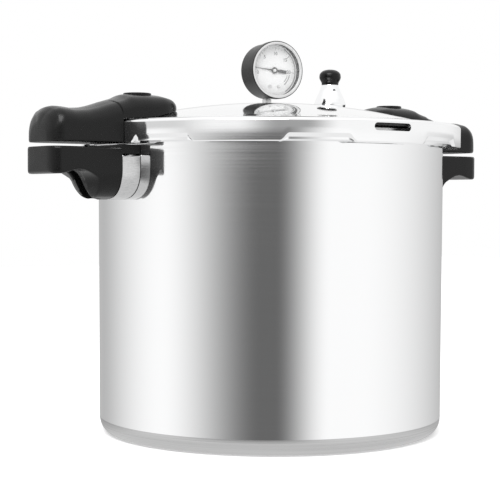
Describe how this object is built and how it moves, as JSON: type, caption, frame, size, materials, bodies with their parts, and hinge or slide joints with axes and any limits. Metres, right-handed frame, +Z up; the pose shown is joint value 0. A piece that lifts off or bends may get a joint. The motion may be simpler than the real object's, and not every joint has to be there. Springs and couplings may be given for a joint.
{
  "type": "pressure canner",
  "caption": "Large stove-top pressure canner: deep metal pot, bayonet cover with dial gauge, weighted regulator and cover lock, black handles on metal brackets, and a perforated rack inside.",
  "frame": {"origin": "centre of the pot's flat base, where it rests on the stove", "axes": "+Z up along the pot's axis; +X along the handles, towards the right-hand pair; -Y towards the side that the gauge faces"},
  "size_m": [0.48, 0.351, 0.3594],
  "materials": {
    "polished_aluminium": "mirror polished, fine spinning marks",
    "satin_aluminium": "satin, as formed",
    "chrome": "bright plated",
    "steel": "bright zinc or stainless",
    "brass": "machined",
    "phenolic": "moulded black phenolic, satin",
    "gauge_black": "black enamel, satin",
    "rubber": "matte black rubber",
    "dial_white": "white enamel with black figures",
    "pointer_black": "matte black",
    "gauge_glass": "clear"
  },
  "bodies": {
    "pot": {"pot_body": "polished_aluminium", "handle_bracket_left": "polished_aluminium", "body_handle_left": "phenolic", "body_handle_stud_left": "steel", "body_handle_screw_left": "steel", "handle_bracket_right": "polished_aluminium", "body_handle_right": "phenolic", "body_handle_stud_right": "steel", "body_handle_screw_right": "steel", "bracket_rivet_left_1": "satin_aluminium", "bracket_rivet_left_2": "satin_aluminium", "bracket_rivet_right_1": "satin_aluminium", "bracket_rivet_right_2": "satin_aluminium", "locking_bracket": "steel"},
    "rack": {"canning_rack": "satin_aluminium"},
    "cover": {"cover": "polished_aluminium", "sealing_ring": "rubber", "cover_handle_left": "phenolic", "cover_handle_cap_left": "phenolic", "cover_handle_screw_left": "steel", "cover_handle_nut_left": "steel", "cover_handle_right": "phenolic", "cover_handle_cap_right": "phenolic", "cover_handle_screw_right": "steel", "cover_handle_nut_right": "steel", "vent_pipe": "steel", "vent_pipe_nut": "steel", "cover_lock_grommet": "rubber", "overpressure_plug": "rubber", "gauge_case": "gauge_black", "gauge_bezel": "gauge_black", "gauge_crystal": "gauge_glass", "gauge_dial": "dial_white", "dial_screw_1": "steel", "dial_screw_2": "steel", "movement_frame": "brass", "hairspring": "steel", "bourdon_tube": "brass", "gauge_link": "steel", "gauge_stem": "satin_aluminium", "gauge_gasket": "rubber", "gauge_nut": "steel"},
    "regulator": {"regulator_body": "chrome", "regulator_knob": "phenolic"},
    "cover_lock": {"cover_lock_pin": "steel", "cover_lock_clip": "steel"},
    "sector": {"sector_gear": "brass"},
    "pointer": {"pointer_shaft": "brass", "gauge_pointer": "pointer_black"}
  },
  "joints": [
    {"name": "cover_turn", "type": "hinge", "parent": "pot", "child": "cover", "pos_m": [0, 0, 0.27], "axis": [0, 0, 1], "range_deg": [0, 22.5]},
    {"name": "rack_lift", "type": "slide", "parent": "pot", "child": "rack", "axis": [0, 0, 1], "range_m": [0, 0.22]},
    {"name": "regulator_lift", "type": "slide", "parent": "cover", "child": "regulator", "axis": [0, 0, 1], "range_m": [0, 0.03]},
    {"name": "cover_lock_rise", "type": "slide", "parent": "cover", "child": "cover_lock", "axis": [-0.1084, 0.2133, 0.971], "range_m": [0, 0.003]},
    {"name": "sector_turn", "type": "hinge", "parent": "cover", "child": "sector", "pos_m": [-0.0045, 0, 0.31788], "axis": [-0.1132, -0.9936, 0], "range_deg": [0, 41], "stiffness_Nm_per_rad": 0.0002},
    {"name": "pointer_turn", "type": "hinge", "parent": "cover", "child": "pointer", "pos_m": [-0.0045, 0, 0.33288], "axis": [-0.1132, -0.9936, 0], "range_deg": [-205, 0]}
  ],
  "couplings": [
    {"joint": "pointer_turn", "follows": "sector_turn", "ratio": -5}
  ]
}
